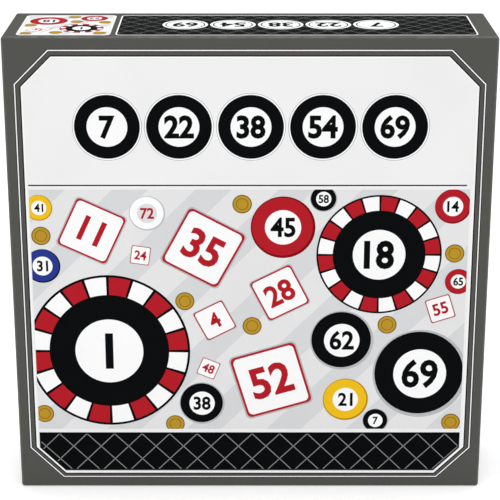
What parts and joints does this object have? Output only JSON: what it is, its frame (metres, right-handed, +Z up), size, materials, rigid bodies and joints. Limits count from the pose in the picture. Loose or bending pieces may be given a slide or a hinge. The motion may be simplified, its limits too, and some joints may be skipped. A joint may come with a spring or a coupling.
{
  "type": "bingo game",
  "caption": "Square boxed bingo game with a lift-off lid, folded card insert, playing cards, marker chips, calling board, leaflet and a number spinner with a turning arrow.",
  "frame": {"origin": "under the middle of the closed box, on the surface that it stands on", "axes": "+Z up, with the box on one narrow side; -Y out of the printed lid, +Y out of the base's back; +X to the right, seen from the lid"},
  "size_m": [0.267, 0.065, 0.267],
  "materials": {
    "lid_print": "semi-gloss laminated print, wrapped round grey board",
    "base_print": "semi-gloss laminated print, wrapped round grey board",
    "insert_card": "uncoated folding card with sharp creases",
    "card_print": "satin coated print in red on white board",
    "chip_plastic": "clear amber moulded plastic, polished, with a raised rim",
    "calling_print": "satin coated print in black on pale grey board",
    "leaflet_paper": "thin uncoated paper, folded once",
    "spinner_print": "satin coated print in red, black and white on pale grey board",
    "eyelet_metal": "nickel washed brass, rolled rim",
    "washer_fibre": "plain stamped fibre washer",
    "arrow_plastic": "moulded blue plastic, soft gloss"
  },
  "bodies": {
    "base": {"base": "base_print"},
    "insert": {"insert": "insert_card"},
    "chip_roll_lower_1": {"chip_roll_lower_1": "chip_plastic"},
    "chip_roll_lower_2": {"chip_roll_lower_2": "chip_plastic"},
    "chip_roll_upper_1": {"chip_roll_upper_1": "chip_plastic"},
    "chip_roll_upper_2": {"chip_roll_upper_2": "chip_plastic"},
    "card_left_1": {"card_left_1": "card_print"},
    "card_right_1": {"card_right_1": "card_print"},
    "card_left_2": {"card_left_2": "card_print"},
    "card_right_2": {"card_right_2": "card_print"},
    "card_left_3": {"card_left_3": "card_print"},
    "card_right_3": {"card_right_3": "card_print"},
    "card_left_4": {"card_left_4": "card_print"},
    "card_right_4": {"card_right_4": "card_print"},
    "card_left_5": {"card_left_5": "card_print"},
    "card_right_5": {"card_right_5": "card_print"},
    "card_left_6": {"card_left_6": "card_print"},
    "card_right_6": {"card_right_6": "card_print"},
    "calling_board": {"calling_board": "calling_print"},
    "rules_leaflet": {"rules_leaflet": "leaflet_paper"},
    "spinner_board": {"spinner_board": "spinner_print", "spinner_eyelet": "eyelet_metal", "spinner_washer": "washer_fibre"},
    "lid": {"lid": "lid_print"},
    "spinner_arrow": {"spinner_arrow": "arrow_plastic"}
  },
  "joints": [
    {"name": "insert_lift", "type": "slide", "parent": "base", "child": "insert", "axis": [0, -1, 0], "range_m": [0, 0.0712]},
    {"name": "chip_roll_lower_1_lift", "type": "slide", "parent": "insert", "child": "chip_roll_lower_1", "axis": [0, -1, 0], "range_m": [0, 0.0376]},
    {"name": "chip_roll_lower_2_lift", "type": "slide", "parent": "chip_roll_lower_1", "child": "chip_roll_lower_2", "axis": [0, -1, 0], "range_m": [0, 0.0376]},
    {"name": "chip_roll_upper_1_lift", "type": "slide", "parent": "chip_roll_lower_2", "child": "chip_roll_upper_1", "axis": [0, -1, 0], "range_m": [0, 0.0376]},
    {"name": "chip_roll_upper_2_lift", "type": "slide", "parent": "chip_roll_upper_1", "child": "chip_roll_upper_2", "axis": [0, -1, 0], "range_m": [0, 0.0376]},
    {"name": "card_left_1_lift", "type": "slide", "parent": "chip_roll_upper_2", "child": "card_left_1", "axis": [0, -1, 0], "range_m": [0, 0.0703]},
    {"name": "card_right_1_lift", "type": "slide", "parent": "card_left_1", "child": "card_right_1", "axis": [0, -1, 0], "range_m": [0, 0.0703]},
    {"name": "card_left_2_lift", "type": "slide", "parent": "card_right_1", "child": "card_left_2", "axis": [0, -1, 0], "range_m": [0, 0.0692]},
    {"name": "card_right_2_lift", "type": "slide", "parent": "card_left_2", "child": "card_right_2", "axis": [0, -1, 0], "range_m": [0, 0.0692]},
    {"name": "card_left_3_lift", "type": "slide", "parent": "card_right_2", "child": "card_left_3", "axis": [0, -1, 0], "range_m": [0, 0.0681]},
    {"name": "card_right_3_lift", "type": "slide", "parent": "card_left_3", "child": "card_right_3", "axis": [0, -1, 0], "range_m": [0, 0.0681]},
    {"name": "card_left_4_lift", "type": "slide", "parent": "card_right_3", "child": "card_left_4", "axis": [0, -1, 0], "range_m": [0, 0.067]},
    {"name": "card_right_4_lift", "type": "slide", "parent": "card_left_4", "child": "card_right_4", "axis": [0, -1, 0], "range_m": [0, 0.067]},
    {"name": "card_left_5_lift", "type": "slide", "parent": "card_right_4", "child": "card_left_5", "axis": [0, -1, 0], "range_m": [0, 0.0659]},
    {"name": "card_right_5_lift", "type": "slide", "parent": "card_left_5", "child": "card_right_5", "axis": [0, -1, 0], "range_m": [0, 0.0659]},
    {"name": "card_left_6_lift", "type": "slide", "parent": "card_right_5", "child": "card_left_6", "axis": [0, -1, 0], "range_m": [0, 0.0648]},
    {"name": "card_right_6_lift", "type": "slide", "parent": "card_left_6", "child": "card_right_6", "axis": [0, -1, 0], "range_m": [0, 0.0648]},
    {"name": "calling_board_lift", "type": "slide", "parent": "card_right_6", "child": "calling_board", "axis": [0, -1, 0], "range_m": [0, 0.0197]},
    {"name": "rules_leaflet_lift", "type": "slide", "parent": "calling_board", "child": "rules_leaflet", "axis": [0, -1, 0], "range_m": [0, 0.0178]},
    {"name": "spinner_board_lift", "type": "slide", "parent": "rules_leaflet", "child": "spinner_board", "axis": [0, -1, 0], "range_m": [0, 0.0171]},
    {"name": "lid_lift", "type": "slide", "parent": "spinner_board", "child": "lid", "axis": [0, -1, 0], "range_m": [0, 0.072]},
    {"name": "spinner_arrow_spin", "type": "hinge", "parent": "spinner_board", "child": "spinner_arrow", "pos_m": [0, -0.02625, 0.1292], "axis": [0, -1, 0], "continuous": true}
  ]
}
